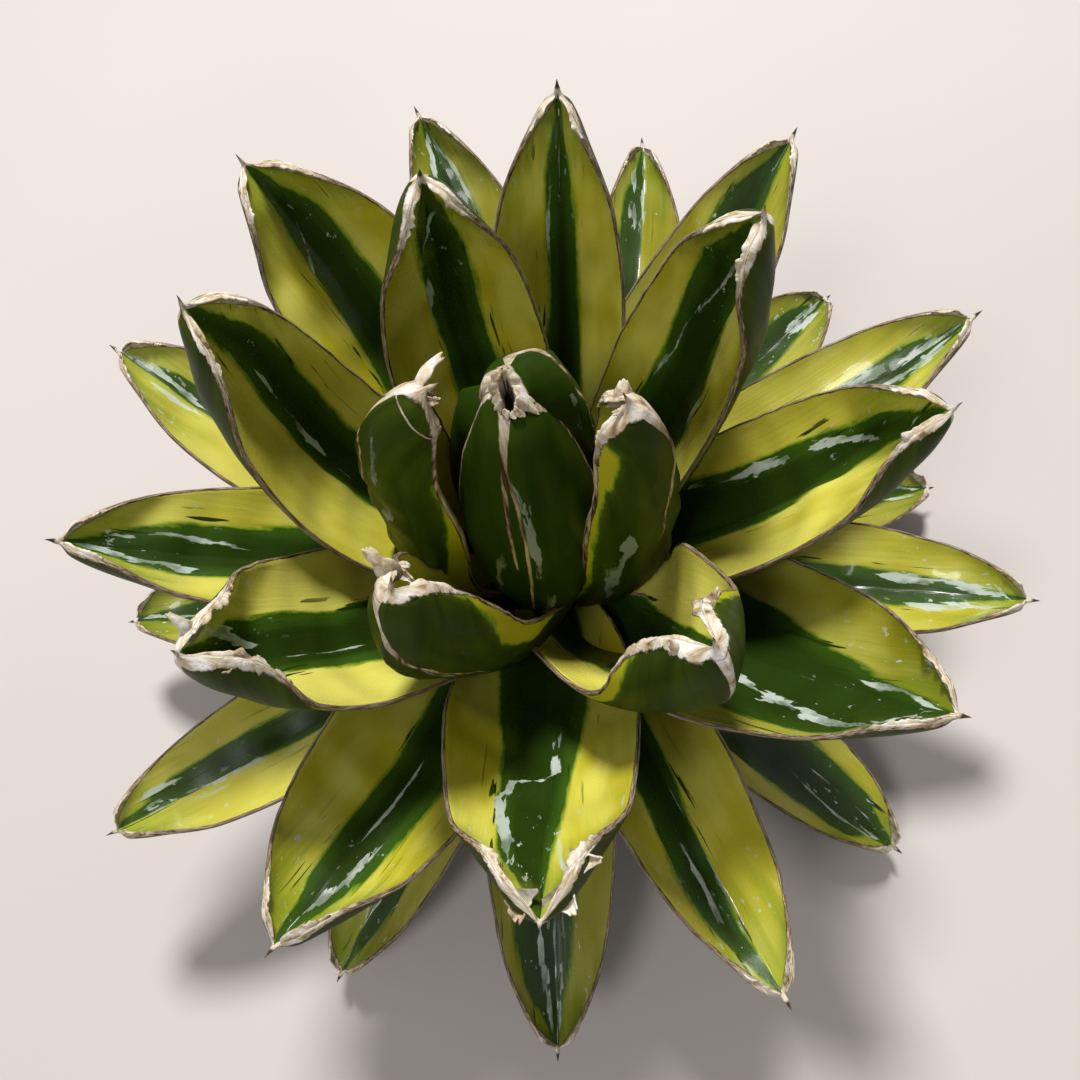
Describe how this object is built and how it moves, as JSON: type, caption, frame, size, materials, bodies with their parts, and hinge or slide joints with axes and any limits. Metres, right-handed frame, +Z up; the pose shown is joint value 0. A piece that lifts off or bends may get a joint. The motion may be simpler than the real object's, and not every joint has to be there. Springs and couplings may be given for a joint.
{
  "type": "queen victoria agave",
  "caption": "Variegated queen victoria agave: a rosette of thick keeled leaves with horny margins and dark spines round a closed heart, on a short cut stem.",
  "frame": {"origin": "on the cut foot of the stem, at the stem's axis, where the cutting rests on a surface", "axes": "+Z up along the stem, out of the heart; -Y is the side that faces the viewer"},
  "size_m": [0.2009, 0.2015, 0.1382],
  "materials": {
    "stem": "dry corky bark with leaf scars",
    "heart": "glossy waxed leaf skin, tan horny margins",
    "leaf": "glossy waxed leaf skin, green band between yellow margins"
  },
  "bodies": {
    "root": {"stem": "stem", "bud": "heart", "heart_leaf_1": "heart", "heart_leaf_2": "heart", "heart_leaf_3": "heart", "leaf_01": "leaf", "leaf_02": "leaf", "leaf_03": "leaf", "leaf_04": "leaf", "leaf_05": "leaf", "leaf_06": "leaf", "leaf_07": "leaf", "leaf_08": "leaf", "leaf_09": "leaf", "leaf_10": "leaf", "leaf_11": "leaf", "leaf_12": "leaf", "leaf_13": "leaf", "leaf_14": "leaf", "leaf_15": "leaf", "leaf_16": "leaf", "leaf_17": "leaf", "leaf_18": "leaf", "leaf_19": "leaf", "leaf_20": "leaf", "leaf_21": "leaf", "leaf_22": "leaf", "leaf_23": "leaf", "leaf_24": "leaf", "leaf_25": "leaf", "leaf_26": "leaf", "leaf_27": "leaf", "leaf_28": "leaf", "leaf_29": "leaf", "leaf_30": "leaf", "leaf_31": "leaf"}
  },
  "joints": []
}
